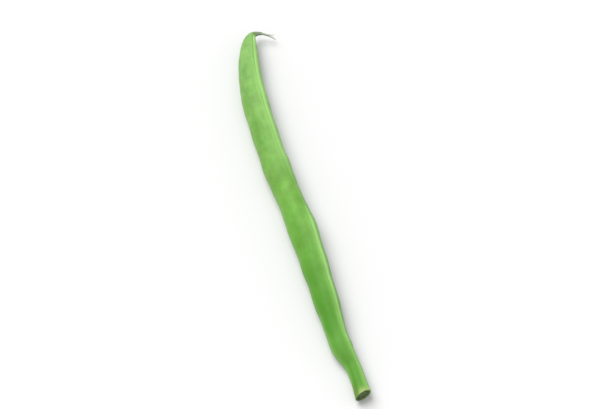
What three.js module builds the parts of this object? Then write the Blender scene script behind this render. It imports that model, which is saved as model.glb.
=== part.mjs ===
// A green bean as picked: one pod with its broken neck, its two seams and, at the tip, the
// dried tail of the flower. It lies on its side, rolled so that its belly seam is raised.
// Millimetres, +Z up.
//
// +X runs from the neck to the tip. The pod bows towards +Y, and the belly seam, which the
// seeds hang from, faces -Y and up. The origin is on the surface, under the middle of the bean.
import * as THREE from "three";
import { ParametricGeometry } from "three/addons/geometries/ParametricGeometry.js";

const { clamp, degToRad, lerp } = THREE.MathUtils;

// Lengths along the centreline, from the scar on the neck
const POD_LENGTH = 137;
const TAIL_LENGTH = 6.5;
const LENGTH = POD_LENGTH + TAIL_LENGTH;
const NECK_LENGTH = 10;
const BEAK_LENGTH = 40; // the stretch that rounds off to the tip

// Widths from seam to seam, and the thickness as a share of the width
const NECK_WIDTH = 4.2;
const SCAR_FLARE = 0.5;
const SCAR_FLARE_REACH = 2;
const FULL_WIDTH = 8.15;
const NECK_SWELL = 18; // distance over which the neck fills out to the full width
const NECK_SOFTNESS = 1.3; // more than 1 lets the swell begin without a corner
const BEAK_TAPER = 0.45; // share of the width lost along it
const BEAK_TAPER_POWER = 2.5;
const BEAK_CLOSING = 3.3; // distance over which the tip closes
const TAIL_ROOT_WIDTH = 1.6;
const TAIL_WIDTH = 0.65;
const TAIL_TIP_WIDTH = 0.35;
const TAIL_ROOT_REACH = 1.5;
const THICKNESS_SHARE = 0.92;
const NECK_ROUNDING = 0.05; // added to that share at the scar
const BEAK_FLATTENING = 0.02; // taken from it at the tip
const SECTION_POWER = 0.9; // 1 is an ellipse, and less than 1 is fuller at the shoulders

// Seeds: distance along the pod, how much each widens and thickens it, and over what reach. One
// of them, between the fourth and the fifth, never set, so the pod stays slimmer there.
const SEEDS = [
  { at: 16.5, swell: 1.05, reach: 3.8 },
  { at: 33, swell: 0.4, reach: 5 },
  { at: 46, swell: 0.45, reach: 5 },
  { at: 58.5, swell: 1, reach: 6.5 },
  { at: 82, swell: 0.55, reach: 5.5 },
  { at: 95.5, swell: 0.2, reach: 5 },
  { at: 108.5, swell: 0.4, reach: 5 },
];

// Seams: on the belly two lips with a groove between them, and one rib on the back
const LIP_HEIGHT = 0.16;
const LIP_OFFSET = 0.52;
const LIP_BREADTH = 0.4;
const GROOVE_DEPTH = 0.14;
const GROOVE_BREADTH = 0.2;
const RIB_HEIGHT = 0.12;
const RIB_BREADTH = 0.3;
const SEAM_FADE_WIDTH = 3; // the seams fade out where the pod is narrower than this

// Turns of the centreline over the surface, in degrees towards +Y
const LEAN = 1.3;
const NECK_KINK = { turn: 15.5, middle: 13.5, reach: 4.2 };
const BOW = { turn: 5, middle: 71.5, reach: 14 };
const HOOK = { turn: 22, length: 36, power: 1.3 };
const TAIL_CURL = { turn: 107, middle: POD_LENGTH - 0.45, reach: 1.25 };

// Turn of the section that raises the belly seam, in degrees
const NECK_TWIST = 53;
const TIP_TWIST = 60;

// Height over the surface
const REST_DEPTH = 0.16; // how much the pod's own weight flattens the underside
const UNDER_SWELL = 0.3; // share of a seed's swell that shows on the underside
const SETTLING = 0.9; // 0 lets the narrow ends hang level, and 1 lays them on the surface
const BEAK_LIFT = { rise: 2.8, length: 20 };
const TAIL_DROP = 1.2;

// The scar where the stalk broke off, from its centre to its rim: share of the neck's
// section, and depth below the rim
const SCAR = [
  { share: 0, depth: 0.4 },
  { share: 0.35, depth: 0.42 },
  { share: 0.66, depth: 0.36 },
  { share: 0.78, depth: 0.12 },
  { share: 0.88, depth: 0 },
  { share: 0.96, depth: 0.06 },
];
const SCAR_SLOPE = Math.tan(degToRad(15)); // the back of the neck is left longer than the belly
const SCAR_SLOPE_REACH = 7;

// Fineness of the surface
const SIDES = 28;
const SEAM_CROWDING = 0.65; // 0 spaces the sides evenly, and near 1 crowds them at the seams
const NECK_RINGS = 7;
const BODY_RINGS = 40;
const BEAK_RINGS = 16;
const TAIL_RINGS = 16;
const TAIL_CROWDING = 1.3; // more than 1 sets the rings closer at the root
const PATH_STEP = 0.25;

const bell = (distance, reach) => Math.exp(-((distance / reach) ** 2));
const signedPower = (value, power) => Math.sign(value) * Math.abs(value) ** power;

// How far along the last stretch of the pod a place is, from 0 to 1
const intoTip = (along, length) => clamp((along - POD_LENGTH + length) / length, 0, 1);
const intoTail = (along) => Math.max(0, along - POD_LENGTH);

function headingAt(along) {
  const kink = NECK_KINK.turn * bell(along - NECK_KINK.middle, NECK_KINK.reach);
  const bow = BOW.turn * bell(along - BOW.middle, BOW.reach);
  const hook = HOOK.turn * intoTip(along, HOOK.length) ** HOOK.power;
  const curl = TAIL_CURL.turn / (1 + Math.exp((TAIL_CURL.middle - along) / TAIL_CURL.reach));
  return degToRad(LEAN + kink + bow - hook - curl);
}

// The centreline seen from above, as points one step apart
function tracePath() {
  const points = [new THREE.Vector2()];
  for (let along = PATH_STEP / 2; along < LENGTH; along += PATH_STEP) {
    const heading = headingAt(along);
    const step = new THREE.Vector2(Math.cos(heading), Math.sin(heading)).multiplyScalar(PATH_STEP);
    points.push(step.add(points.at(-1)));
  }
  return points;
}

const path = tracePath();

function centreAt(along) {
  const place = along / PATH_STEP;
  const before = clamp(Math.floor(place), 0, path.length - 2);
  return path[before].clone().lerp(path[before + 1], place - before);
}

function swellAt(along) {
  return SEEDS.reduce((sum, { at, swell, reach }) => sum + swell * bell(along - at, reach), 0);
}

// Width of the fleshy pod alone, without its seeds. It is nothing in the tail.
function podWidthAt(along) {
  const pastNeck = Math.max(0, along - NECK_LENGTH) / NECK_SWELL;
  const filled = lerp(FULL_WIDTH, NECK_WIDTH, Math.exp(-(pastNeck ** NECK_SOFTNESS)));
  const flare = SCAR_FLARE * Math.exp(-along / SCAR_FLARE_REACH);
  const taper = 1 - BEAK_TAPER * intoTip(along, BEAK_LENGTH) ** BEAK_TAPER_POWER;
  const closing = 1 - Math.exp(-Math.max(0, POD_LENGTH - along) / BEAK_CLOSING);
  return (filled + flare) * taper * closing;
}

function tailWidthAt(along) {
  const root = (TAIL_ROOT_WIDTH - TAIL_WIDTH) * Math.exp(-intoTail(along) / TAIL_ROOT_REACH);
  return root + lerp(TAIL_WIDTH, TAIL_TIP_WIDTH, intoTail(along) / TAIL_LENGTH);
}

function thicknessShareAt(along) {
  const rounding = NECK_ROUNDING * Math.exp(-along / NECK_SWELL);
  return THICKNESS_SHARE + rounding - BEAK_FLATTENING * intoTip(along, BEAK_LENGTH);
}

const twistAt = (along) => degToRad(lerp(NECK_TWIST, TIP_TWIST, along / POD_LENGTH));

// Height that the pod takes up, from its lowest to its highest point. Its section is a
// superellipse, so its turned width and thickness join by a power of their own.
function podHeightAt(along) {
  const power = 1 / (1 - SECTION_POWER / 2);
  const ofWidth = Math.sin(twistAt(along)) ** power;
  const ofThickness = (thicknessShareAt(along) * Math.cos(twistAt(along))) ** power;
  const settled = lerp(FULL_WIDTH, podWidthAt(along), SETTLING);
  return settled * (ofWidth + ofThickness) ** (1 / power);
}

// Height of the centreline, which rises towards the tip and falls again along the tail
function heightAt(along) {
  const resting = (podHeightAt(along) + (1 - UNDER_SWELL) * swellAt(along)) / 2 - REST_DEPTH;
  const beakLift = BEAK_LIFT.rise * intoTip(along, BEAK_LIFT.length) ** 2;
  return resting + beakLift - TAIL_DROP * (intoTail(along) / TAIL_LENGTH) ** 2;
}

// How far the wall stands out at a seam, from the distance to each seam line
function seamRelief(fromBelly, fromBack) {
  const lips = LIP_HEIGHT * bell(Math.abs(fromBelly) - LIP_OFFSET, LIP_BREADTH);
  const groove = GROOVE_DEPTH * bell(fromBelly, GROOVE_BREADTH);
  return lips - groove + RIB_HEIGHT * bell(fromBack, RIB_BREADTH);
}

// A point of the section: x across the pod towards its back, y up
function sectionPoint(along, angle) {
  const pod = podWidthAt(along);
  const tail = tailWidthAt(along);
  const swell = swellAt(along);
  const halfWidth = (Math.hypot(pod, tail) + swell) / 2;
  const halfThickness = (Math.hypot(pod * thicknessShareAt(along), tail) + swell) / 2;
  const fromBelly = (angle - Math.PI) * halfWidth;
  const fromBack = Math.min(angle, 2 * Math.PI - angle) * halfWidth;
  const relief = clamp(pod / SEAM_FADE_WIDTH, 0, 1) * seamRelief(fromBelly, fromBack);
  return new THREE.Vector2(
    (halfWidth + relief) * signedPower(Math.cos(angle), SECTION_POWER),
    (halfThickness + relief) * signedPower(Math.sin(angle), SECTION_POWER),
  );
}

// The rings that the surface is stretched over, from the middle of the scar to the end of the
// tail: distance along, share of the section there, and depth inside the scar
function listRings() {
  const rings = SCAR.map(({ share, depth }) => ({ along: 0, share, depth }));
  const ring = (along) => rings.push({ along, share: 1, depth: 0 });
  const beakStart = POD_LENGTH - BEAK_LENGTH;
  for (let i = 1; i <= NECK_RINGS; i++) ring(NECK_LENGTH * (i / NECK_RINGS) ** 2);
  for (let i = 1; i <= BODY_RINGS; i++) ring(lerp(NECK_LENGTH, beakStart, i / BODY_RINGS));
  for (let i = 1; i <= BEAK_RINGS; i++) {
    ring(beakStart + BEAK_LENGTH * Math.sin(((i / BEAK_RINGS) * Math.PI) / 2));
  }
  for (let i = 1; i <= TAIL_RINGS; i++) {
    ring(POD_LENGTH + TAIL_LENGTH * (i / TAIL_RINGS) ** TAIL_CROWDING);
  }
  rings.push({ along: LENGTH, share: 0, depth: 0 });
  return rings;
}

const rings = listRings();

function ringAt(share) {
  const place = share * (rings.length - 1);
  const before = Math.min(Math.floor(place), rings.length - 2);
  const mix = (key) => lerp(rings[before][key], rings[before + 1][key], place - before);
  return { along: mix("along"), share: mix("share"), depth: mix("depth") };
}

// The whole skin: round and lengthwise each run from 0 to 1
function skin(round, lengthwise, target) {
  const { along, share, depth } = ringAt(lengthwise);
  const turn = round % 1;
  const angle = 2 * Math.PI * turn - (SEAM_CROWDING / 2) * Math.sin(4 * Math.PI * turn);
  const point = sectionPoint(along, angle)
    .multiplyScalar(share)
    .rotateAround(new THREE.Vector2(), -twistAt(along));
  const slope = SCAR_SLOPE * clamp(1 - along / SCAR_SLOPE_REACH, 0, 1) ** 2;
  const forward = depth - slope * point.x;
  const heading = headingAt(along);
  const centre = centreAt(along);
  target.set(
    centre.x + forward * Math.cos(heading) - point.x * Math.sin(heading),
    centre.y + forward * Math.sin(heading) + point.x * Math.cos(heading),
    Math.max(0, heightAt(along) + point.y),
  );
}

function makePod() {
  const geometry = new ParametricGeometry(skin, SIDES, rings.length - 1);
  geometry.computeBoundingBox();
  const middle = geometry.boundingBox.getCenter(new THREE.Vector3());
  geometry.translate(-middle.x, -middle.y, 0);
  const material = new THREE.MeshStandardMaterial({ color: 0x76ad4a, roughness: 0.5, metalness: 0 });
  const mesh = new THREE.Mesh(geometry, material);
  mesh.name = "bean_pod";
  return mesh;
}

const group = new THREE.Group();
group.add(makePod());

export default group;
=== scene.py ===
"""A fresh green bean as picked, lying on its side and rolled so that its belly seam is raised:
one pod with its broken neck, its two seams and the dried tail of the flower. Metres, +Z up. +X
runs from the neck to the tip, the pod bows towards +Y, and the belly seam faces -Y and up.
"""

import math

import bpy
import numpy as np
from bpy.props import FloatProperty, FloatVectorProperty, IntProperty, PointerProperty
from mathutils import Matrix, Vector


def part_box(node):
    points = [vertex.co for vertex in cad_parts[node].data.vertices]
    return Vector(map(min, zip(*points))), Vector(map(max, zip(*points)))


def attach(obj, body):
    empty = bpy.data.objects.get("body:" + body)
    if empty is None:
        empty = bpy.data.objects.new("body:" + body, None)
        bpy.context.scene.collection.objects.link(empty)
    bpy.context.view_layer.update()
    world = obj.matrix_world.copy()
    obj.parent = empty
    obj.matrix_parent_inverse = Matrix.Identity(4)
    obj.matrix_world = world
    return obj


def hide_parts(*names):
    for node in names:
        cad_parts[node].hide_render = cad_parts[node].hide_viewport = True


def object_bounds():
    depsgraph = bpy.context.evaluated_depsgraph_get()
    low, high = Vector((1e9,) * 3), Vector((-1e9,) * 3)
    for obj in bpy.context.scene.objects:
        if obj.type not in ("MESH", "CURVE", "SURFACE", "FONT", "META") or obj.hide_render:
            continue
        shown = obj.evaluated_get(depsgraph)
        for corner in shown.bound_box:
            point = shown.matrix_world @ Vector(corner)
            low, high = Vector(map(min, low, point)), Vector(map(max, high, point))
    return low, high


bl_info = {
    "name": "Green Bean",
    "version": (1, 0, 0),
    "blender": (4, 5, 0),
    "location": "View3D > Sidebar > Green Bean",
    "description": "Grows a green bean pod round its frame and sets a plain studio",
    "category": "Add Mesh",
}

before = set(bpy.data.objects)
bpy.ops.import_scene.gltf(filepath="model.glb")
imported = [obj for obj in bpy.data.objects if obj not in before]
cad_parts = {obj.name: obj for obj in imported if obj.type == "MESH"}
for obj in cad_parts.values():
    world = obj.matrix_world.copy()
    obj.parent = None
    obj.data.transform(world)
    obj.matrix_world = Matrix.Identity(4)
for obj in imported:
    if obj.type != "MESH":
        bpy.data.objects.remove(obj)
FRAME_LOW, FRAME_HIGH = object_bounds()

POD_NODE = "bean_pod"
PIECE_NAME = "bean_skin"
BODY = "root"
MM = 0.001

# The pod's line and section, as its frame has them but for a thinner end to the tail
POD_LENGTH = 137 * MM
TAIL_LENGTH = 6.5 * MM
LENGTH = POD_LENGTH + TAIL_LENGTH
NECK_LENGTH = 10 * MM
BEAK_LENGTH = 40 * MM
NECK_WIDTH = 4.2 * MM
SCAR_FLARE = 0.5 * MM
SCAR_FLARE_REACH = 2 * MM
FULL_WIDTH = 8.15 * MM
NECK_SWELL = 18 * MM
NECK_SOFTNESS = 1.3
BEAK_TAPER = 0.45
BEAK_TAPER_POWER = 2.5
BEAK_CLOSING = 3.3 * MM
TAIL_ROOT_WIDTH = 1.6 * MM
TAIL_WIDTH = 0.65 * MM
TAIL_TIP_WIDTH = 0.2 * MM
TAIL_ROOT_REACH = 1.5 * MM
THICKNESS_SHARE = 0.92
NECK_ROUNDING = 0.05
BEAK_FLATTENING = 0.02
SECTION_POWER = 0.9

# The seeds: how far along each sits, how much it swells the pod and over what reach
SEEDS = [
    (16.5 * MM, 1.05 * MM, 3.8 * MM),
    (33 * MM, 0.4 * MM, 5 * MM),
    (46 * MM, 0.45 * MM, 5 * MM),
    (58.5 * MM, 1 * MM, 6.5 * MM),
    (82 * MM, 0.55 * MM, 5.5 * MM),
    (95.5 * MM, 0.2 * MM, 5 * MM),
    (108.5 * MM, 0.4 * MM, 5 * MM),
]

# How far a seed shows on the broad sides, and where the hollows between the seeds set in. They
# fade out past the last seed
SEED_FACE_REACH = 5.2 * MM
HOLLOWS_START, HOLLOWS_FULL = 22 * MM, 34 * MM
HOLLOWS_FADE = 12 * MM

# The two seams: how far each lip stands from the groove, the breadths of lips, groove and back
# rib, and the pod's width below which they fade
LIP_OFFSET = 0.52 * MM
LIP_BREADTH = 0.4 * MM
GROOVE_BREADTH = 0.2 * MM
RIB_BREADTH = 0.3 * MM
SEAM_FADE_WIDTH = 3 * MM

# The belly seam's pale band and the glow round it. The band is partly the seam's own paler skin
# and partly a painted highlight along the raised seam. The glow is partly paler skin and partly
# painted light that brightens the skin towards the seam. Columns: distance along the pod, how far
# past the groove their middle lies, how strongly the band and the glow show, and how far the glow
# reaches
BELLY_BREADTH = 0.66 * MM
BELLY_SOFTNESS = 0.45 * MM
BELLY_SHOW = [
    (0 * MM, 0.1 * MM, 0.5, 0.0, 1.4 * MM),
    (12 * MM, 0.1 * MM, 0.5, 0.2, 1.5 * MM),
    (28 * MM, 0.2 * MM, 0.45, 0.4, 1.5 * MM),
    (40 * MM, 0.28 * MM, 0.68, 0.44, 1.9 * MM),
    (58 * MM, 0.28 * MM, 0.75, 0.44, 2.3 * MM),
    # From 66 to 74 mm the band and the glow almost vanish: a painted shadow over the seam
    (66 * MM, 0.28 * MM, 0.05, 0.05, 2.3 * MM),
    (74 * MM, 0.28 * MM, 0.05, 0.05, 2.3 * MM),
    (85 * MM, 0.28 * MM, 0.22, 0.5, 2.3 * MM),
    (105 * MM, 0.28 * MM, 0.75, 0.65, 2.3 * MM),
    (118 * MM, 0.35 * MM, 0.75, 0.55, 2 * MM),
    (128 * MM, 0.6 * MM, 0.75, 0.5, 1.9 * MM),
    (137 * MM, 0.6 * MM, 0.65, 0.3, 1.8 * MM),
]

# How much the band's breadth wavers and over what length, and the breadth of the thin dark line
# in the groove and of the thin pale one on the back
BAND_WAVER, BAND_WAVER_LENGTH = 0.18, 23 * MM
GROOVE_LINE_BREADTH, BACK_LINE_BREADTH = 0.15 * MM, 0.3 * MM

# A painted highlight: the soft pale line on the upper broad side, strongest over the neck. Its
# angle from the back seam, its breadth, how strongly it shows on the body, and where it fades to
# that
SIDE_LINE_ANGLE = math.radians(66)
SIDE_LINE_BREADTH = 0.8 * MM
SIDE_LINE_ON_BODY = 0.25
SIDE_LINE_FADE_START, SIDE_LINE_FADE_END = 20 * MM, 42 * MM

# The neck's pale stretch, which is painted light over the neck's bend, and the collars beside the
# scar. The collar is pale on the belly's side and turns olive between two angles away from the belly
# seam
PALE_NECK_MIDDLE, PALE_NECK_REACH = 15 * MM, 4 * MM
COLLAR_TURNS, COLLAR_TURNED = math.radians(58), math.radians(92)
PALE_COLLAR_REACH, PALE_COLLAR_FADING = 1.5 * MM, 0.9
OLIVE_COLLAR_MIDDLE, OLIVE_COLLAR_REACH = 0.8 * MM, 3.2 * MM

# Where the skin dries: distances before and past the pod's end
DRY_BEFORE, DRY_PAST = 2.6 * MM, 0.6 * MM

# How the pod bends, seen from above: turns in degrees
LEAN = 1.3
NECK_KINK, NECK_KINK_MIDDLE, NECK_KINK_REACH = 15.5, 13.5 * MM, 4.2 * MM
BOW, BOW_MIDDLE, BOW_REACH = 5, 71.5 * MM, 14 * MM
HOOK, HOOK_LENGTH, HOOK_POWER = 22, 36 * MM, 1.3
TAIL_CURL, TAIL_CURL_MIDDLE, TAIL_CURL_REACH = 107, POD_LENGTH - 0.45 * MM, 1.25 * MM

# How far the section is turned to raise the belly seam, in degrees
NECK_TWIST, TIP_TWIST = 53, 60

# How it lies: the depth pressed flat and its soft edge, how much of the seeds' swelling stays
# underneath, how far the narrow ends settle, the beak's rise and the tail's drop
REST_DEPTH = 0.16 * MM
REST_SOFTNESS = 0.12 * MM
UNDER_SWELL = 0.3
SETTLING = 0.9
BEAK_LIFT, BEAK_LIFT_LENGTH = 2.8 * MM, 20 * MM
TAIL_DROP = 1.2 * MM

# The scar, from its heart to its rim: share of the neck's section, and depth below the rim
SCAR_SHARES = [0, 0.35, 0.6, 0.72, 0.8, 0.88, 0.96, 1.0]
SCAR_DEPTHS = [0.4 * MM, 0.42 * MM, 0.38 * MM, 0.26 * MM, 0.1 * MM, 0, 0.04 * MM, 0.1 * MM]
SCAR_SLOPE = math.tan(math.radians(15))
SCAR_SLOPE_REACH = 7 * MM

# The torn flesh in the scar. Places and breadths are shares of the section, and a lean is how
# much the phase of the spokes or the tears shifts on the way out, in radians
FLESH_ENDS_START, FLESH_ENDS = 0.7, 0.86
SPOKES, SPOKE_DEPTH, SPOKE_LEAN, SPOKE_START, SPOKE_FULL = 17, 0.05 * MM, 5, 0.15, 0.5
KNOTS, KNOT_RING, KNOT_BREADTH, KNOT_HEIGHT = 9, 0.52, 0.1, 0.16 * MM
HEART_DEPTH, HEART_BREADTH = 0.12 * MM, 0.13
TEARS, TEAR_DEPTH, TEAR_LEAN = 3, 0.05 * MM, 9

# Where the scar's colours lie: shares of the section, and how strongly the fibres, and the painted
# shade at the scar's two ends, show
RIM_START, RIM_FULL = 0.82, 0.94
FACE_ENDS_START, FACE_ENDS = 0.8, 0.9
RING_SHOW, RING_BREADTH, RING_BETWEEN_KNOTS = 0.6, 0.12, 0.35
HEART_SHOW, HEART_SPOT_BREADTH = 0.5, 0.18
# The bundles darken the scar's two ends near the seams: partly the stalk's strands, partly painted
# shade of the dish
BUNDLE_SHOW, BUNDLE_START, BUNDLE_FULL, BUNDLE_ANGLE = 0.9, 0.4, 0.75, 0.5

# Lumps and ribs on the skin: how many there are, the range of the lumps' lengths and the most
# waves round the pod, and how broad the ribs are and how far they wander, in radians. Gathers
# are the ribs at the neck and beak, less their mean. All ribs sway and fade as slow waves, with
# these ranges of length and of phase
RIPPLES, RIPPLE_LENGTHS, RIPPLE_TURNS = 14, (4 * MM, 11 * MM), 3
RIBS, RIB_SPREAD, RIB_WANDER = 26, 0.06, 0.12
GATHERS, GATHER_SPREAD, GATHER_WANDER, GATHER_MEAN = 22, 0.1, 0.05, 0.8
RIB_SWAYS, RIB_FADES, RIB_PHASES = (25 * MM, 70 * MM), (18 * MM, 50 * MM), (0, 6.3)
NECK_WRINKLE_REACH = 5.5 * MM
BEAK_WRINKLE_SHARE, BEAK_WRINKLE_LENGTH = 0.5, 9 * MM

# The dried tail's furrows and pinches: depths are shares of its half width
FURROWS, FURROW_DEPTH, FURROW_WINDING, FURROWS_REACH = 5, 0.13, 7 * MM, 1.2 * MM
PINCH_DEPTH, PINCH_LENGTH = 0.1, 1.7 * MM

# The tail's threads: where the first one leaves it and where it ends, as shares of its length,
# and how much later or sooner the others do; the tilt between neighbours, the power by which
# they curve away, how much and how often they waver, and how their radius tapers
WISP_START, WISP_START_STEP = 0.36, 0.1
WISP_END, WISP_END_STEP = 0.91, 0.16
WISP_TILT = 0.9
WISP_CURVE, WISP_WAVER, WISP_WAVES = 1.5, 0.12, 5
WISP_RADIUS, WISP_TAPER = 0.13 * MM, 0.09 * MM

# Fineness of the skin, and how the corners crowd towards the seams and the rows towards the
# scar and the tail's root
SIDES = 110
SEAM_CROWDING = 0.65
SCAR_ROWS, NECK_ROWS, BODY_ROWS, BEAK_ROWS, TAIL_ROWS = 26, 72, 480, 200, 76
NECK_CROWDING, TAIL_CROWDING = 1.4, 1.2
WISP_ROWS, WISP_SIDES = 30, 10
PATH_STEP = 0.05 * MM
RANDOM_SEED = 11

# The way the key light shines, and how broad it looks from the bean
SHINE = Vector((-0.5, -0.3, -0.82)).normalized()
KEY_BREADTH = math.radians(48)


# ---------------------------------------------------------------------------
# What a user may change


def size_setting(name, description, default):
    """A length that a user may change."""
    return FloatProperty(
        name=name, description=description, default=default, min=0, unit="LENGTH", precision=5
    )


def colour_setting(name, description, default):
    """A colour that a user may change."""
    return FloatVectorProperty(
        name=name, description=description, default=default, subtype="COLOR", min=0, max=1
    )


class GreenBeanPod(bpy.types.PropertyGroup):
    """Sizes and colours of the pod"""

    lip_height: size_setting(
        "Seam Lips", "How far the two lips of the belly seam stand out", 0.12 * MM
    )
    groove_depth: size_setting("Seam Groove", "Depth of the groove between the lips", 0.08 * MM)
    rib_height: size_setting("Back Rib", "Height of the rib along the pod's back", 0.12 * MM)
    seed_hollow: size_setting(
        "Hollow Between Seeds", "How far the broad sides sink between two seeds", 0.2 * MM
    )
    ripple_height: size_setting(
        "Ripples", "Height of the gentle lumps all over the skin", 0.035 * MM
    )
    streak_height: size_setting(
        "Lengthwise Ribs", "Height of the fine ribs that run along the skin", 0.03 * MM
    )
    wrinkle_height: size_setting(
        "Wrinkles", "Height of the wrinkles at the neck and the beak", 0.12 * MM
    )
    wisps: IntProperty(
        name="Tail Wisps",
        description="Number of fine threads that the dried tail splits into",
        default=3,
        min=0,
        max=6,
    )
    wisp_spread: size_setting(
        "Wisp Spread", "How far the ends of the threads stand apart from the tail", 1.9 * MM
    )
    neck_green: colour_setting(
        "Green at the Neck",
        "Skin colour of the first quarter, at the neck",
        (0.0648, 0.226, 0.0163),
    )
    middle_green: colour_setting(
        "Green at the Middle", "Skin colour halfway along", (0.1175, 0.294, 0.0405)
    )
    tip_green: colour_setting(
        "Green at the Tip",
        "Skin colour of the last part, from six tenths of the length",
        (0.121, 0.274, 0.0505),
    )
    bloom: colour_setting("Bloom", "Dusty bloom that thickens towards the tip", (0.3, 0.38, 0.3))
    # This pale green also colours the painted highlight on the upper broad side, the painted light
    # on the neck and the seam's partly painted glow and band
    seam_green: colour_setting(
        "Seam", "Pale band along the belly seam, and the other pale marks", (0.315, 0.59, 0.17)
    )
    tail_olive: colour_setting("Tail Root", "Olive skin where the tail begins", (0.13, 0.21, 0.04))
    tail_grey: colour_setting("Tail", "Dried grey-green root of the tail", (0.25, 0.315, 0.215))
    tail_pale: colour_setting(
        "Tail Ends", "Bleached grey threads that the tail ends in", (0.42, 0.42, 0.37)
    )
    scar_grey: colour_setting(
        "Scar", "Dried grey-green flesh where the stalk broke off", (0.13, 0.205, 0.085)
    )
    # This brown also colours the painted shade at the scar's two ends
    scar_brown: colour_setting(
        "Scar Fibres",
        "Brown ends of the fibres in the scar, and brown streaks on the tail",
        (0.047, 0.052, 0.018),
    )
    collar_pale: colour_setting(
        "Pale Collar", "Pale skin beside the scar, on the belly's side", (0.3, 0.4, 0.13)
    )
    collar_olive: colour_setting(
        "Olive Collar", "Olive skin beside the scar, on the back's side", (0.085, 0.15, 0.018)
    )


class GreenBeanStage(bpy.types.PropertyGroup):
    """Floor, lights and camera"""

    floor_colour: colour_setting("Floor", "Colour of the floor", (0.66, 0.66, 0.66))
    floor_size: FloatProperty(
        name="Floor Size",
        description="Length of the square floor's side",
        default=60.0,
        min=1,
        unit="LENGTH",
    )
    sky_light: FloatProperty(
        name="Surround",
        description="Strength of the white surround's light",
        default=0.75,
        min=0,
    )
    key_light: FloatProperty(
        name="Key Light",
        description="Strength of the broad light from behind and above",
        default=3.0,
        min=0,
    )
    lens: FloatProperty(
        name="Lens", description="Focal length in millimetres", default=148.0, min=20
    )
    distance: FloatProperty(
        name="Camera Distance",
        description="From the camera to the middle of the bean",
        default=0.75,
        min=0.2,
        unit="LENGTH",
    )
    elevation: FloatProperty(
        name="Camera Elevation",
        description="Angle of the camera above the floor",
        default=math.radians(57),
        subtype="ANGLE",
    )
    turn: FloatProperty(
        name="Camera Turn",
        description="Angle from the pod's line to the line of sight, seen from above",
        default=math.radians(14),
        subtype="ANGLE",
    )


# ---------------------------------------------------------------------------
# The pod's line and section


def bell(distance, reach):
    """1 at no distance and about a third at the reach: e to the minus (distance / reach) squared."""
    return np.exp(-((distance / reach) ** 2))


def step_up(value, start, end):
    """0 before start and 1 after end, with an even S between them: t squared times (3 - 2t)."""
    t = np.clip((value - start) / (end - start), 0, 1)
    return t * t * (3 - 2 * t)


def signed_power(value, power):
    """The value's size to the power, with the value's sign."""
    return np.sign(value) * np.abs(value) ** power


def into_tip(along, length):
    """How far through the pod's last stretch a place is, from 0 to 1."""
    return np.clip((along - POD_LENGTH + length) / length, 0, 1)


def into_tail(along):
    """Distance past the pod's end, or 0 on the pod."""
    return np.maximum(0, along - POD_LENGTH)


def heading_at(along):
    """The centreline's direction from above, in radians: a steady lean, a bell-shaped kink at
    the neck and bow at the middle, less a hook that grows towards the tip and the tail's curl,
    which is an S-shaped step."""
    kink = NECK_KINK * bell(along - NECK_KINK_MIDDLE, NECK_KINK_REACH)
    bow = BOW * bell(along - BOW_MIDDLE, BOW_REACH)
    hook = HOOK * into_tip(along, HOOK_LENGTH) ** HOOK_POWER
    curl = TAIL_CURL / (1 + np.exp((TAIL_CURL_MIDDLE - along) / TAIL_CURL_REACH))
    return np.radians(LEAN + kink + bow - hook - curl)


def centre_at(along):
    """The centreline's x and y: the heading's cosine and sine, added up from the scar in short
    steps and read off between them."""
    places = np.arange(0, LENGTH + PATH_STEP, PATH_STEP)
    heading = heading_at(places[:-1] + PATH_STEP / 2)
    x = np.concatenate([[0], np.cumsum(np.cos(heading))]) * PATH_STEP
    y = np.concatenate([[0], np.cumsum(np.sin(heading))]) * PATH_STEP
    return np.interp(along, places, x), np.interp(along, places, y)


def swell_at(along):
    """How much the seeds widen the pod: a bell over each seed, added up."""
    return sum(swell * bell(along - at, reach) for at, swell, reach in SEEDS)


def pod_width_at(along):
    """Width of the pod without its seeds: the neck's width growing smoothly to the full width,
    plus a small flare at the scar, times the beak's slow taper, times a rounded closing at the
    tip: 1 less e to the minus (distance to the tip / closing distance)."""
    past_neck = np.maximum(0, along - NECK_LENGTH) / NECK_SWELL
    filled = FULL_WIDTH + (NECK_WIDTH - FULL_WIDTH) * np.exp(-(past_neck**NECK_SOFTNESS))
    flare = SCAR_FLARE * np.exp(-along / SCAR_FLARE_REACH)
    taper = 1 - BEAK_TAPER * into_tip(along, BEAK_LENGTH) ** BEAK_TAPER_POWER
    closing = 1 - np.exp(-np.maximum(0, POD_LENGTH - along) / BEAK_CLOSING)
    return (filled + flare) * taper * closing


def tail_width_at(along):
    """Width of the tail, and of the thread it grows from inside the beak: a root that fades in
    a short reach, plus a straight taper to a thin end."""
    reached = into_tail(along)
    root = (TAIL_ROOT_WIDTH - TAIL_WIDTH) * np.exp(-reached / TAIL_ROOT_REACH)
    return root + TAIL_WIDTH + (TAIL_TIP_WIDTH - TAIL_WIDTH) * reached / TAIL_LENGTH


def thickness_share_at(along):
    """Thickness over width: rounder at the neck and flatter at the beak."""
    rounding = NECK_ROUNDING * np.exp(-along / NECK_SWELL)
    return THICKNESS_SHARE + rounding - BEAK_FLATTENING * into_tip(along, BEAK_LENGTH)


def twist_at(along):
    """How far the belly seam is turned up, in radians: an even change from neck to tip."""
    return np.radians(NECK_TWIST + (TIP_TWIST - NECK_TWIST) * along / POD_LENGTH)


def pod_height_at(along):
    """Height that the turned pod takes up. The section is a superellipse, so its width times
    the twist's sine and its thickness times the cosine are each raised to a power, added, and
    the sum's root is taken. The narrow ends settle most of the way down."""
    power = 1 / (1 - SECTION_POWER / 2)
    twist = twist_at(along)
    shares = np.sin(twist) ** power + (thickness_share_at(along) * np.cos(twist)) ** power
    settled = FULL_WIDTH + (pod_width_at(along) - FULL_WIDTH) * SETTLING
    return settled * shares ** (1 / power)


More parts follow.
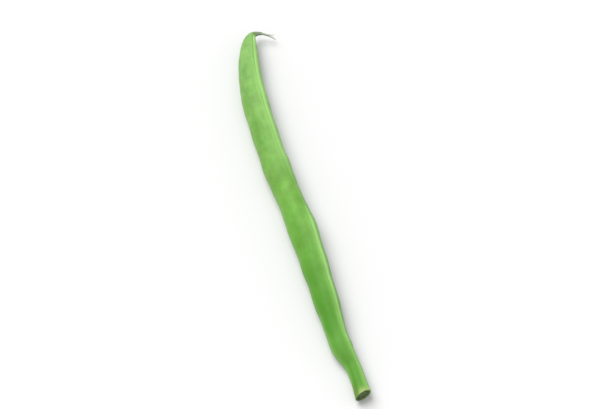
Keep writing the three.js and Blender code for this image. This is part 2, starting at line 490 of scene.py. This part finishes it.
def height_at(along):
    """Height of the centreline: half the pod's height, less the depth pressed flat, plus a rise
    at the beak that falls again along the tail."""
    resting = (pod_height_at(along) + (1 - UNDER_SWELL) * swell_at(along)) / 2 - REST_DEPTH
    beak_lift = BEAK_LIFT * into_tip(along, BEAK_LIFT_LENGTH) ** 2
    return resting + beak_lift - TAIL_DROP * (into_tail(along) / TAIL_LENGTH) ** 2


def rested(height):
    """Keeps heights above the floor with a soft edge: the mean of the height and of the root of
    the height squared plus the softness squared."""
    return (height + np.sqrt(height**2 + REST_SOFTNESS**2)) / 2


# ---------------------------------------------------------------------------
# What stands out on the skin


def lumps(rng, along, angle, count, lengths, most_turns):
    """Gentle lumps, about 1 high: the sum of sine waves that run along and round the pod, each
    with a length, a whole number of turns and a phase of its own."""
    total = 0
    for _ in range(count):
        length = rng.uniform(*lengths)
        turns = rng.integers(-most_turns, most_turns + 1)
        phase = rng.uniform(0, 2 * np.pi)
        total = total + np.sin(2 * np.pi * along / length + turns * angle + phase)
    return total / math.sqrt(count)


def long_ribs(rng, along, angle, count, breadth, wander):
    """Ribs that run lengthwise, up to 1 high: each is a narrow bell round the pod, whose middle
    wanders and whose height comes and goes as slow sine waves along it."""
    total = 0
    for _ in range(count):
        sway = np.sin(2 * np.pi * along / rng.uniform(*RIB_SWAYS) + rng.uniform(*RIB_PHASES))
        fade = np.sin(2 * np.pi * along / rng.uniform(*RIB_FADES) + rng.uniform(*RIB_PHASES))
        away = angle - rng.uniform(0, 2 * np.pi) - wander * sway
        away = (away + np.pi) % (2 * np.pi) - np.pi
        total = total + (0.5 + 0.5 * fade) * bell(away, breadth)
    return total


def full_bodied(along):
    """1 on most of the pod, falling evenly to 0 where it grows narrow at its tip."""
    return np.clip(pod_width_at(along) / SEAM_FADE_WIDTH, 0, 1)


def seam_relief(pod, from_belly, from_back):
    """The two lips of the belly seam less the groove between them, plus the rib of the back:
    bells of the distance to each line."""
    lips = pod.lip_height * bell(np.abs(from_belly) - LIP_OFFSET, LIP_BREADTH)
    groove = pod.groove_depth * bell(from_belly, GROOVE_BREADTH)
    return lips - groove + pod.rib_height * bell(from_back, RIB_BREADTH)


def seed_show(along):
    """1 over a seed and 0 well between two: the highest of the seeds' bells."""
    over = [bell(along - at, SEED_FACE_REACH) for at, _, _ in SEEDS]
    return np.maximum.reduce(over)


def seeded(along):
    """1 where the seeds shape the broad sides: from the second seed to a little past the last."""
    last = SEEDS[-1][0]
    start = step_up(along, HOLLOWS_START, HOLLOWS_FULL)
    return start * (1 - step_up(along, last, last + HOLLOWS_FADE))


def skin_relief(pod, rng, along, angle, from_belly, from_back):
    """How far each point of the skin stands out: the seams, the hollows between seeds on the
    broad sides, ripples and fine ribs all over, and wrinkles that gather at the neck and beak.
    All of it fades where the pod grows narrow."""
    on_pod = full_bodied(along)
    broad = np.sin(angle) ** 2
    hollow = pod.seed_hollow * broad * (1 - seed_show(along)) * seeded(along)
    uneven = lumps(rng, along, angle, RIPPLES, RIPPLE_LENGTHS, RIPPLE_TURNS)
    ribbed = long_ribs(rng, along, angle, RIBS, RIB_SPREAD, RIB_WANDER)
    gathered = long_ribs(rng, along, angle, GATHERS, GATHER_SPREAD, GATHER_WANDER) - GATHER_MEAN
    at_neck = np.exp(-along / NECK_WRINKLE_REACH)
    at_beak = BEAK_WRINKLE_SHARE * into_tip(along, BEAK_WRINKLE_LENGTH) ** 2
    wrinkles = pod.wrinkle_height * (at_neck + at_beak) * gathered
    relief = seam_relief(pod, from_belly, from_back) - hollow
    relief = relief + pod.ripple_height * uneven + pod.streak_height * ribbed
    return on_pod * (relief + wrinkles)


def tail_relief(along, angle, width):
    """The dried tail's furrows: lobes that wind round it as a cosine of the angle and the
    distance, and pinches that turn from side to side as two sines. They grow from its root."""
    reached = into_tail(along)
    drawn = step_up(reached, 0, FURROWS_REACH)
    lobes = FURROW_DEPTH * np.cos(FURROWS * angle + 2 * np.pi * reached / FURROW_WINDING)
    pinches = PINCH_DEPTH * np.sin(2 * np.pi * reached / PINCH_LENGTH) * np.sin(2 * angle + 1)
    return drawn * (lobes + pinches) * width / 2


def scar_depth(share, angle):
    """Depth below the scar's rim: a dish read off its profile. Inside the rim it is roughened
    by spokes and tears, which are sines of the angle and the share, by a ring of small knots
    where the strands of the stalk ran in, which is a bell times a squared cosine, and by a
    bell-shaped heart."""
    dish = np.interp(share, SCAR_SHARES, SCAR_DEPTHS)
    inside = 1 - step_up(share, FLESH_ENDS_START, FLESH_ENDS)
    spoked = step_up(share, SPOKE_START, SPOKE_FULL)
    spokes = SPOKE_DEPTH * np.sin(SPOKES * angle + SPOKE_LEAN * share) * spoked
    knots = KNOT_HEIGHT * bell(share - KNOT_RING, KNOT_BREADTH) * np.cos(KNOTS / 2 * angle) ** 2
    heart = HEART_DEPTH * bell(share, HEART_BREADTH)
    torn = TEAR_DEPTH * np.sin(TEARS * angle + TEAR_LEAN * share + 1)
    return dish + inside * (spokes - knots + heart + torn)


# ---------------------------------------------------------------------------
# The surface


def skin_rows():
    """The rows of the skin from the heart of the scar to the tail's end: the distance along and
    the share of the section. They are even on the scar and the body, follow a power of the
    distance on the neck and the tail, and a sine on the beak, so that they crowd at its end."""
    scar = np.linspace(0, 1, SCAR_ROWS + 1)[1:]
    neck = NECK_LENGTH * (np.arange(1, NECK_ROWS + 1) / NECK_ROWS) ** NECK_CROWDING
    beak_start = POD_LENGTH - BEAK_LENGTH
    body = np.linspace(NECK_LENGTH, beak_start, BODY_ROWS + 1)[1:]
    beak = beak_start + BEAK_LENGTH * np.sin(np.linspace(0, np.pi / 2, BEAK_ROWS + 1)[1:])
    through_tail = np.arange(1, TAIL_ROWS + 1) / (TAIL_ROWS + 1)
    tail = POD_LENGTH + TAIL_LENGTH * through_tail**TAIL_CROWDING
    outside = np.concatenate([neck, body, beak, tail])
    along = np.concatenate([np.zeros(SCAR_ROWS), outside])
    share = np.concatenate([scar, np.ones(len(outside))])
    return along[:, None], share[:, None]


def side_angles(sides):
    """Angles round the section from the back seam, crowded at the two seams: the even angle less
    a share of the sine of its double."""
    even = 2 * np.pi * np.arange(sides) / sides
    return (even - SEAM_CROWDING / 2 * np.sin(2 * even))[None, :]


def section_sizes(along):
    """Half the width and half the thickness: pod and tail joined as the sides of a right angle,
    plus the swelling of the seeds."""
    pod, tail, swell = pod_width_at(along), tail_width_at(along), swell_at(along)
    half_width = (np.hypot(pod, tail) + swell) / 2
    half_thickness = (np.hypot(pod * thickness_share_at(along), tail) + swell) / 2
    return half_width, half_thickness


def carried(along, forward, across, up):
    """Places a section point: forward along the centreline's heading, across it towards the
    pod's back, and up from its height."""
    heading = heading_at(along)
    x, y = centre_at(along)
    return np.stack(
        [
            x + forward * np.cos(heading) - across * np.sin(heading),
            y + forward * np.sin(heading) + across * np.cos(heading),
            rested(height_at(along) + up),
        ],
        axis=-1,
    )


def skin_surface(pod, rng):
    """The whole skin as rows of points, and what the material reads at each point. Each row is
    a superellipse, raised by the relief, turned by the twist and carried along the centreline.
    The scar's rows shrink to its heart, sink by its depth and lean by its slope, and the rows
    behind it lean less and less."""
    along, share = skin_rows()
    angle = side_angles(SIDES)
    half_width, half_thickness = section_sizes(along)
    from_belly = (angle - np.pi) * half_width
    from_back = np.minimum(angle, 2 * np.pi - angle) * half_width
    relief = skin_relief(pod, rng, along, angle, from_belly, from_back)
    relief = relief + tail_relief(along, angle, tail_width_at(along))
    across = share * (half_width + relief) * signed_power(np.cos(angle), SECTION_POWER)
    up = share * (half_thickness + relief) * signed_power(np.sin(angle), SECTION_POWER)
    twist = twist_at(along)
    turned_across = across * np.cos(twist) + up * np.sin(twist)
    turned_up = up * np.cos(twist) - across * np.sin(twist)
    slope = SCAR_SLOPE * np.clip(1 - along / SCAR_SLOPE_REACH, 0, 1) ** 2
    depth = np.where(along > 0, 0, scar_depth(share, angle))
    points = carried(along, depth - slope * turned_across, turned_across, turned_up)
    place = np.stack([along + depth + 0 * across, across, up], axis=-1)
    return points, skin_marks(along, share, angle, half_width, from_belly, from_back), place


def painted_edge_highlight(along, angle, half_width):
    """A painted highlight: a soft pale line on the upper broad side, nearer to the back: a bell
    round an angle of the section, full over the neck and weaker along the body."""
    away = (angle - SIDE_LINE_ANGLE) * half_width
    faded = step_up(along, SIDE_LINE_FADE_START, SIDE_LINE_FADE_END)
    strength = 1 - (1 - SIDE_LINE_ON_BODY) * faded
    return strength * bell(away, SIDE_LINE_BREADTH)


def skin_marks(along, share, angle, half_width, from_belly, from_back):
    """What the material reads, from 0 to 1 at each point, by name: how far along the point is,
    soft-edged bands and bells of its distance to each line, bells round the neck and over the
    seeds, soft steps of its share of the scar, and how dry it is."""
    grid = np.zeros(np.broadcast(along, angle).shape)
    on_pod = full_bodied(along)
    places, *columns = zip(*BELLY_SHOW)
    middle, banded, glowing, reach = (np.interp(along, places, values) for values in columns)
    waver = BAND_WAVER * np.sin(2 * np.pi * along / BAND_WAVER_LENGTH + 1)
    breadth = BELLY_BREADTH * (1 + waver)
    away = np.abs(from_belly - middle)
    band = 1 - step_up(away, breadth - BELLY_SOFTNESS, breadth + BELLY_SOFTNESS)
    glow = bell(away, reach)
    rim = step_up(share, RIM_START, RIM_FULL)
    back_side = step_up(np.abs(angle - np.pi), COLLAR_TURNS, COLLAR_TURNED)
    pale_collar = bell(along, PALE_COLLAR_REACH) * (1 - PALE_COLLAR_FADING * back_side)
    olive_collar = bell(along - OLIVE_COLLAR_MIDDLE, OLIVE_COLLAR_REACH) * back_side
    face = 1 - step_up(share, FACE_ENDS_START, FACE_ENDS)
    return {
        "toward_tip": grid + np.clip(along / POD_LENGTH, 0, 1),
        # The seam's band is partly a painted highlight, and its glow is partly painted light
        "seam_band_and_highlight": grid + on_pod * banded * band,
        "seam_glow_and_painted_light": grid + on_pod * glowing * glow,
        "belly_groove": grid + on_pod * bell(from_belly, GROOVE_LINE_BREADTH),
        "back_line": grid + on_pod * bell(from_back, BACK_LINE_BREADTH),
        # Painted highlight: a pale line on the upper broad side
        "painted_edge_highlight": grid + on_pod * painted_edge_highlight(along, angle, half_width),
        "over_seed": grid + seed_show(along) * seeded(along) * np.sin(angle) ** 2,
        # Painted light over the neck's bend
        "neck_painted_light": grid + bell(along - PALE_NECK_MIDDLE, PALE_NECK_REACH),
        "pale_collar": grid + rim * pale_collar,
        "olive_collar": grid + rim * olive_collar,
        "scar_face": grid + np.where(along > 0, 0, face),
        "scar_fibres_and_shade": grid + np.where(along > 0, 0, fibre_ends_and_shade(share, angle)),
        "dryness": grid + step_up(along, POD_LENGTH - DRY_BEFORE, POD_LENGTH + DRY_PAST),
        "toward_end": grid + into_tail(along) / TAIL_LENGTH,
    }


def fibre_ends_and_shade(share, angle):
    """Where the scar is darker: the strongest of a broken ring of torn fibre knots, two bundles near
    the seams, which are a fourth power of a cosine and are partly the stalk's strands and partly
    painted shade at the two ends of the dish, and a bell-shaped heart."""
    knots = RING_BETWEEN_KNOTS + (1 - RING_BETWEEN_KNOTS) * np.cos(KNOTS / 2 * angle) ** 2
    ring = RING_SHOW * bell(share - KNOT_RING, RING_BREADTH) * knots
    heart = HEART_SHOW * bell(share, HEART_SPOT_BREADTH)
    outward = step_up(share, BUNDLE_START, BUNDLE_FULL)
    bundles = BUNDLE_SHOW * outward * np.cos(angle - BUNDLE_ANGLE) ** 4
    return np.maximum(np.maximum(ring, heart), bundles)


def wisp_surface(number, count, spread):
    """One thread of the split tail: a round, tapering section carried along the tail's line.
    A power of the way along, with a slow sine on it, draws it away from that line, with every
    second thread tilted up and the others down."""
    start = POD_LENGTH + TAIL_LENGTH * (WISP_START + WISP_START_STEP * number / count)
    end = POD_LENGTH + TAIL_LENGTH * (WISP_END - WISP_END_STEP * number / count)
    way = np.linspace(0, 1, WISP_ROWS)[:, None]
    along = start + (end - start) * way
    angle = (2 * np.pi * np.arange(WISP_SIDES) / WISP_SIDES)[None, :]
    direction = (number % 2 - 0.5) * WISP_TILT
    waver = 1 + WISP_WAVER * np.sin(WISP_WAVES * way + number)
    away = spread * (number + 1) / count * way**WISP_CURVE * waver
    radius = WISP_RADIUS - WISP_TAPER * way
    across = away * math.cos(direction) + radius * np.cos(angle)
    up = away * math.sin(direction) + radius * np.sin(angle)
    points = carried(along, 0, across, up)
    place = np.stack([along + 0 * across, across, up], axis=-1)
    return points, place


def tube_faces(rows, sides, first):
    """Faces of a tube whose rows of points are numbered in order from first, closed at each end
    by a fan to a pole. The two poles are numbered after the rows."""
    row, side = np.meshgrid(np.arange(rows - 1), np.arange(sides), indexing="ij")
    here, beside = row * sides + side, row * sides + (side + 1) % sides
    quads = np.stack([here, here + sides, beside + sides, beside], axis=-1).reshape(-1, 4)
    ring = np.arange(sides)
    after = (ring + 1) % sides
    last = (rows - 1) * sides
    start_pole, end_pole = np.full(sides, rows * sides), np.full(sides, rows * sides + 1)
    start_fan = np.stack([ring, after, start_pole], axis=-1)
    end_fan = np.stack([last + after, last + ring, end_pole], axis=-1)
    return (quads + first).tolist() + (np.concatenate([start_fan, end_fan]) + first).tolist()


def with_poles(values, poles):
    """Rows of values as one list, with the two poles' values after them."""
    flat = values.reshape(-1, *values.shape[2:])
    return np.concatenate([flat, poles])


def end_means(values):
    """The mean of the first row and of the last row, for the two poles."""
    return np.stack([values[0].mean(0), values[-1].mean(0)])


def fitted(points, low, high):
    """Stretches the points along each axis, so that their box is the box between two corners."""
    least, most = points.min(0), points.max(0)
    return low + (points - least) * (high - low) / (most - least)


def pod_tubes(pod):
    """The pod's skin and the tail's threads: the points, marks and places of each. The threads
    are dry all along."""
    rng = np.random.default_rng(RANDOM_SEED)
    points, marks, place = skin_surface(pod, rng)
    tubes = [(points, marks, place)]
    for number in range(pod.wisps):
        points, place = wisp_surface(number, pod.wisps, pod.wisp_spread)
        dry = {name: np.zeros(points.shape[:2]) for name in marks}
        dry["toward_tip"] += 1
        dry["dryness"] += 1
        dry["toward_end"] += into_tail(place[..., 0]) / TAIL_LENGTH
        tubes.append((points, dry, place))
    return tubes


def pod_mesh(pod):
    """The skin and the threads as one mesh in the frame's box, with what its material reads:
    every mark, and the place on the straightened pod."""
    tubes = pod_tubes(pod)
    corners, faces, places = [], [], []
    read = {name: [] for name in tubes[0][1]}
    for points, marks, place in tubes:
        first = sum(len(c) for c in corners)
        faces += tube_faces(points.shape[0], points.shape[1], first)
        corners.append(with_poles(points, end_means(points)))
        places.append(with_poles(place, end_means(place)))
        for name, values in marks.items():
            read[name].append(with_poles(values, end_means(values)))
    low, high = (np.array(corner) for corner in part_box(POD_NODE))
    mesh = bpy.data.meshes.new(PIECE_NAME)
    mesh.from_pydata(fitted(np.concatenate(corners), low, high).tolist(), [], faces)
    for name, values in read.items():
        made = mesh.attributes.new(name, "FLOAT", "POINT")
        made.data.foreach_set("value", np.concatenate(values).astype(np.float32))
    made = mesh.attributes.new("skin_place", "FLOAT_VECTOR", "POINT")
    made.data.foreach_set("vector", np.concatenate(places).astype(np.float32).ravel())
    mesh.polygons.foreach_set("use_smooth", np.ones(len(mesh.polygons), bool))
    mesh.update()
    return mesh


# ---------------------------------------------------------------------------
# The skin's material

# Textures of the skin: how much each is drawn out lengthwise (less is longer), its cells to the
# metre and detail, the range of the noise that it takes up, and its strength. The first ones
# lighten the skin, or darken it where the strength is below 0
SKIN_TEXTURES = [
    (1.0, 180, 1, 0.4, 0.6, 0.1),  # blotches
    (0.8, 420, 2, 0.4, 0.7, 0.17),  # patches
    (0.09, 1500, 3, 0.42, 0.72, 0.055),  # pale streaks
    (0.07, 2600, 2, 0.55, 0.75, -0.07),  # veins
    (0.6, 3400, 1, 0.55, 0.7, 0.16),  # flecks
]
CLOUDS = (0.9, 150, 3, 0.35, 0.65, 0.22)
YELLOWER_PATCHES = (0.7, 330, 2, 0.36, 0.64, 0.3)
SCAR_MOTTLE = (1, 2600, 3, 0.35, 0.65, 0.55)
TAIL_STREAKS = (0.15, 5000, 2, 0.4, 0.7, 0.4)

# The tone of the skin without textures, and how much lighter it is over the seeds
PLAIN_TONE, SEED_TONE = 0.97, 0.05

# What the skin's colour is times where it is yellower
YELLOW_TINT = (1.35, 1, 1.3)

# Where one green turns into the next, as shares of the pod's length
MIDDLE_TURNS = (0.26, 0.52)
TIP_TURNS = (0.5, 0.62)

# How the textures and the bloom grow: between which shares of the length, from what and to what
TEXTURE_GROWTH = (0.2, 0.95, 0.45, 1.75)
BLOOM_GROWTH = (0.7, 0.97, 0.0, 0.11)

# The marks, in the order in which they are laid over the green: strength and colour. The pale line
# on the upper broad side is a painted highlight and the neck's pale stretch is painted light. The
# seam's band is partly a painted highlight, and its glow is partly painted light
MARK_COLOURS = [
    ("back_line", 0.4, "seam_green"),
    ("painted_edge_highlight", 0.3, "seam_green"),
    ("seam_glow_and_painted_light", 1.0, "seam_green"),
    ("seam_band_and_highlight", 1.0, "seam_green"),
    ("belly_groove", 0.1, "neck_green"),
    ("neck_painted_light", 0.13, "seam_green"),
    ("olive_collar", 0.8, "collar_olive"),
    ("pale_collar", 0.85, "collar_pale"),
]

# How dry the skin is where it turns olive and where it turns grey, and the shares of the tail
# between which it is bleached
OLIVE_TURNS = (0.0, 0.55)
GREY_TURNS = (0.35, 0.85)
BLEACH_TURNS = (0.1, 0.6)

# Roughness: how far its texture is drawn out, its cells to the metre and detail, the range of
# the noise and the roughness at its ends; and the roughness of dried skin
SATIN_DRAWN, SATIN_CELLS, SATIN_DETAIL = 0.5, 900, 3
SATIN_RANGE = (0.3, 0.7, 0.4, 0.54)
DRY_ROUGHNESS = 0.85

# Relief too fine for the mesh: cells to the metre, detail and roughness of the noise, how far
# the fibres are drawn out and how much higher they are than the down, and the relief's height
DOWN = (5200, 2, 0.6)
FIBRES = (2600, 3, 0.6)
FIBRES_DRAWN, FIBRES_HEIGHT = 0.05, 1.4
RELIEF_HEIGHT, RELIEF_STRENGTH = 0.03 * MM, 0.6


class SkinNodes:
    """Short ways to add and join the nodes of one material."""

    def __init__(self, material):
        material.use_nodes = True
        self.tree = material.node_tree
        self.tree.nodes.clear()

    def add(self, kind, inputs=None, **settings):
        """A node with its settings, and with its inputs set to a value or joined to a socket."""
        node = self.tree.nodes.new(kind)
        for name, value in settings.items():
            setattr(node, name, value)
        for name, value in (inputs or {}).items():
            self.feed(node.inputs[name], value)
        return node

    def feed(self, socket, value):
        """Joins an input to another node's socket, or sets it to a value."""
        if isinstance(value, bpy.types.NodeSocket):
            self.tree.links.new(value, socket)
        else:
            socket.default_value = value

    def mark(self, name):
        """One of the skin's marks."""
        return self.add("ShaderNodeAttribute", attribute_name=name).outputs["Fac"]

    def place(self, scale=(1, 1, 1)):
        """The place on the straightened pod, stretched by scale."""
        spot = self.add("ShaderNodeAttribute", attribute_name="skin_place").outputs["Vector"]
        return self.add("ShaderNodeMapping", {"Vector": spot, "Scale": scale}).outputs["Vector"]

    def noise(self, place, scale, detail=2.0, roughness=0.5):
        """Cloudy noise from 0 to 1 with about scale cells to the metre."""
        inputs = {"Vector": place, "Scale": scale, "Detail": detail, "Roughness": roughness}
        return self.add("ShaderNodeTexNoise", inputs).outputs["Fac"]

    def spread(self, value, low, high, to_low=0.0, to_high=1.0):
        """The value taken from one range to another and held inside it."""
        inputs = {
            "Value": value,
            "From Min": low,
            "From Max": high,
            "To Min": to_low,
            "To Max": to_high,
        }
        return self.add("ShaderNodeMapRange", inputs).outputs["Result"]

    def texture(self, drawn, cells, detail, low, high, strength):
        """Noise drawn out lengthwise, from 0 to the strength over a range of the noise."""
        clouded = self.noise(self.place((drawn, 1, 1)), cells, detail)
        return self.spread(clouded, low, high, 0.0, strength)

    def maths(self, operation, *numbers):
        """Two or three numbers joined by an operation."""
        node = self.add("ShaderNodeMath", operation=operation)
        for socket, value in zip(node.inputs, numbers):
            self.feed(socket, value)
        return node.outputs["Value"]

    def scaled(self, colour, amount):
        """A colour times a number."""
        inputs = {"Vector": colour, "Scale": amount}
        return self.add("ShaderNodeVectorMath", inputs, operation="SCALE").outputs["Vector"]

    def tinted(self, colour, tint):
        """A colour whose red, green and blue are each times the tint's."""
        inputs = {0: colour, 1: tint}
        return self.add("ShaderNodeVectorMath", inputs, operation="MULTIPLY").outputs["Vector"]

    def blend(self, share, first, second):
        """Two colours mixed by a share."""
        node = self.add("ShaderNodeMix", {0: share}, data_type="RGBA")
        for socket, colour in zip(node.inputs[6:8], (first, second)):
            joined = isinstance(colour, bpy.types.NodeSocket)
            self.feed(socket, colour if joined else (*colour, 1))
        return node.outputs[2]


def skin_tone(skin, growth):
    """How much lighter or darker the skin is than its plain green: the plain tone, plus the
    growth times the sum of every texture and of a little over the seeds."""
    tone = skin.maths("MULTIPLY", skin.mark("over_seed"), SEED_TONE)
    for drawn, cells, detail, low, high, strength in SKIN_TEXTURES:
        texture = skin.texture(drawn, cells, detail, low, high, 1.0)
        tone = skin.maths("MULTIPLY_ADD", texture, strength, tone)
    return skin.maths("MULTIPLY_ADD", tone, growth, PLAIN_TONE)


def skin_green(skin, pod):
    """The living skin: three greens from neck to tip, clouded with the neck's green, lighter and
    darker by its textures, yellower in patches, and dusted with bloom towards the tip."""
    toward_tip = skin.mark("toward_tip")
    middle = skin.spread(toward_tip, *MIDDLE_TURNS)
    green = skin.blend(middle, pod.neck_green, pod.middle_green)
    green = skin.blend(skin.spread(toward_tip, *TIP_TURNS), green, pod.tip_green)
    growth = skin.spread(toward_tip, *TEXTURE_GROWTH)
    clouds = skin.maths("MULTIPLY", skin.texture(*CLOUDS), growth)
    green = skin.blend(clouds, green, pod.neck_green)
    green = skin.scaled(green, skin_tone(skin, growth))
    yellower = skin.tinted(green, YELLOW_TINT)
    green = skin.blend(skin.texture(*YELLOWER_PATCHES), green, yellower)
    return skin.blend(skin.spread(toward_tip, *BLOOM_GROWTH), green, pod.bloom)


def scar_colour(skin, pod):
    """The scar's dried flesh, with brown fibre ends, partly painted shade at the dish's two ends,
    and brown mottling.
    """
    flesh = skin.blend(skin.mark("scar_fibres_and_shade"), pod.scar_grey, pod.scar_brown)
    return skin.blend(skin.texture(*SCAR_MOTTLE), flesh, pod.scar_brown)


def tail_colour(skin, pod):
    """The dried tail: grey-green at its root, bleached towards its end, with brown streaks."""
    bleached = skin.spread(skin.mark("toward_end"), *BLEACH_TURNS)
    tail = skin.blend(bleached, pod.tail_grey, pod.tail_pale)
    return skin.blend(skin.texture(*TAIL_STREAKS), tail, pod.scar_brown)


def skin_colour(skin, pod):
    """The skin's colours laid over one another: the living green, the pale and olive marks, the
    scar, and then the tail's olive root and its dried grey."""
    colour = skin_green(skin, pod)
    for mark, strength, paint in MARK_COLOURS:
        shown = skin.maths("MULTIPLY", skin.mark(mark), strength)
        colour = skin.blend(shown, colour, getattr(pod, paint))
    colour = skin.blend(skin.mark("scar_face"), colour, scar_colour(skin, pod))
    dryness = skin.mark("dryness")
    colour = skin.blend(skin.spread(dryness, *OLIVE_TURNS), colour, pod.tail_olive)
    return skin.blend(skin.spread(dryness, *GREY_TURNS), colour, tail_colour(skin, pod))


def skin_roughness(skin):
    """Satin skin that varies a little, dull in the scar and on the tail."""
    varied = skin.noise(skin.place((SATIN_DRAWN, 1, 1)), SATIN_CELLS, SATIN_DETAIL)
    satin = skin.spread(varied, *SATIN_RANGE)
    dried = skin.maths("MAXIMUM", skin.mark("scar_face"), skin.mark("dryness"))
    dull = skin.maths("MULTIPLY", dried, DRY_ROUGHNESS)
    return skin.maths("MAXIMUM", satin, dull)


def skin_normal(skin):
    """Fine down and pores over faint lengthwise fibres."""
    down = skin.noise(skin.place(), *DOWN)
    fibres = skin.noise(skin.place((FIBRES_DRAWN, 1, 1)), *FIBRES)
    height = skin.maths("ADD", skin.maths("MULTIPLY", fibres, FIBRES_HEIGHT), down)
    inputs = {"Height": height, "Distance": RELIEF_HEIGHT, "Strength": RELIEF_STRENGTH}
    return skin.add("ShaderNodeBump", inputs).outputs["Normal"]


def pod_material(pod):
    """Living pod skin: waxy, downy and a little translucent, with its dried scar and tail."""
    material = bpy.data.materials.new("pod skin")
    skin = SkinNodes(material)
    surface = skin.add(
        "ShaderNodeBsdfPrincipled",
        {
            "Base Color": skin_colour(skin, pod),
            "Roughness": skin_roughness(skin),
            "Normal": skin_normal(skin),
            "IOR": 1.42,
            "Specular IOR Level": 0.2,
            "Subsurface Weight": 0.18,
            "Subsurface Radius": (0.6, 1.0, 0.25),
            "Subsurface Scale": 1.2 * MM,
            "Sheen Weight": 0.1,
            "Sheen Roughness": 0.45,
            "Sheen Tint": (0.8, 1.0, 0.5, 1),
        },
    )
    skin.add("ShaderNodeOutputMaterial", {"Surface": surface.outputs["BSDF"]})
    return material


# ---------------------------------------------------------------------------
# The stage


def floor_square(stage):
    """A flat square at floor height, level with the frame's lowest point."""
    half = stage.floor_size / 2
    corners = [(-half, -half), (half, -half), (half, half), (-half, half)]
    mesh = bpy.data.meshes.new("floor")
    mesh.from_pydata([(x, y, FRAME_LOW.z) for x, y in corners], [], [(0, 1, 2, 3)])
    material = bpy.data.materials.new("pale floor")
    material.use_nodes = True
    surface = material.node_tree.nodes["Principled BSDF"]
    surface.inputs["Base Color"].default_value = (*stage.floor_colour, 1)
    surface.inputs["Roughness"].default_value = 1.0
    surface.inputs["Specular IOR Level"].default_value = 0.0
    mesh.materials.append(material)
    floor = bpy.data.objects.new("floor", mesh)
    bpy.context.collection.objects.link(floor)
    return floor


def surround(stage, seen):
    """A white world. It lights the bean with one strength and is seen with another, so that it
    meets the floor without an edge."""
    world = bpy.data.worlds.new("surround")
    world.use_nodes = True
    tree = world.node_tree
    path = tree.nodes.new("ShaderNodeLightPath")
    strength = tree.nodes.new("ShaderNodeMapRange")
    tree.links.new(path.outputs["Is Camera Ray"], strength.inputs["Value"])
    strength.inputs["To Min"].default_value = stage.sky_light
    strength.inputs["To Max"].default_value = seen
    background = tree.nodes["Background"]
    background.inputs["Color"].default_value = (1, 1, 1, 1)
    tree.links.new(strength.outputs["Result"], background.inputs["Strength"])
    bpy.context.scene.world = world


def key_light(stage):
    """A broad distant light from behind and above."""
    light = bpy.data.lights.new("key", "SUN")
    light.energy = stage.key_light
    light.angle = KEY_BREADTH
    lamp = bpy.data.objects.new("key", light)
    lamp.rotation_mode = "QUATERNION"
    lamp.rotation_quaternion = SHINE.to_track_quat("-Z", "Y")
    bpy.context.collection.objects.link(lamp)


def floor_brightness(stage):
    """How bright the floor looks: its colour times the light it gets, which is the surround's
    strength plus the key light's over pi, times how steeply it falls."""
    lit = stage.sky_light + stage.key_light / math.pi * -SHINE.z
    return lit * stage.floor_colour[0]


def line_of_sight(stage):
    """Where the camera looks: along the pod, turned towards its belly, and down."""
    level = math.cos(stage.elevation)
    return Vector(
        (
            level * math.cos(stage.turn),
            -level * math.sin(stage.turn),
            -math.sin(stage.elevation),
        )
    )


def place_camera(stage):
    """A camera that looks at the middle of the frame's box."""
    camera = bpy.data.objects.new("camera", bpy.data.cameras.new("camera"))
    camera.data.lens = stage.lens
    sight = line_of_sight(stage)
    camera.location = (FRAME_LOW + FRAME_HIGH) / 2 - sight * stage.distance
    camera.rotation_mode = "QUATERNION"
    camera.rotation_quaternion = sight.to_track_quat("-Z", "Y")
    bpy.context.collection.objects.link(camera)
    bpy.context.scene.camera = camera


# ---------------------------------------------------------------------------
# Operators and panel


class BEAN_OT_pod(bpy.types.Operator):
    """Grow the pod's skin in place of the plain frame"""

    bl_idname = "green_bean.pod"
    bl_label = "Pod"

    def execute(self, context):
        if POD_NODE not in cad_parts:
            raise RuntimeError("the frame holds no node " + POD_NODE)
        pod = context.scene.green_bean_pod
        mesh = pod_mesh(pod)
        mesh.materials.append(pod_material(pod))
        piece = bpy.data.objects.new(PIECE_NAME, mesh)
        context.collection.objects.link(piece)
        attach(piece, BODY)
        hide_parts(POD_NODE)
        return {"FINISHED"}


class BEAN_OT_stage(bpy.types.Operator):
    """Set the floor, the lights and the camera"""

    bl_idname = "green_bean.stage"
    bl_label = "Stage"

    def execute(self, context):
        stage = context.scene.green_bean_stage
        floor_square(stage)
        key_light(stage)
        surround(stage, floor_brightness(stage))
        place_camera(stage)
        context.scene.view_settings.view_transform = "Standard"
        return {"FINISHED"}


class BEAN_PT_panel(bpy.types.Panel):
    """Sizes, colours and buttons of the bean"""

    bl_idname = "BEAN_PT_panel"
    bl_label = "Green Bean"
    bl_space_type = "VIEW_3D"
    bl_region_type = "UI"
    bl_category = "Green Bean"

    def draw(self, context):
        pairs = [
            (context.scene.green_bean_pod, BEAN_OT_pod),
            (context.scene.green_bean_stage, BEAN_OT_stage),
        ]
        for settings, operator in pairs:
            box = self.layout.box()
            box.operator(operator.bl_idname)
            for name in settings.__annotations__:
                box.prop(settings, name)


CLASSES = (GreenBeanPod, GreenBeanStage, BEAN_OT_pod, BEAN_OT_stage, BEAN_PT_panel)


def register():
    """Adds the classes and the scene's settings."""
    for added in CLASSES:
        bpy.utils.register_class(added)
    bpy.types.Scene.green_bean_pod = PointerProperty(type=GreenBeanPod)
    bpy.types.Scene.green_bean_stage = PointerProperty(type=GreenBeanStage)


def unregister():
    """Takes them away again."""
    del bpy.types.Scene.green_bean_stage
    del bpy.types.Scene.green_bean_pod
    for added in reversed(CLASSES):
        bpy.utils.unregister_class(added)


def main():
    """Builds the bean and its stage."""
    register()
    bpy.ops.green_bean.pod()
    bpy.ops.green_bean.stage()


if __name__ == "__main__":
    main()
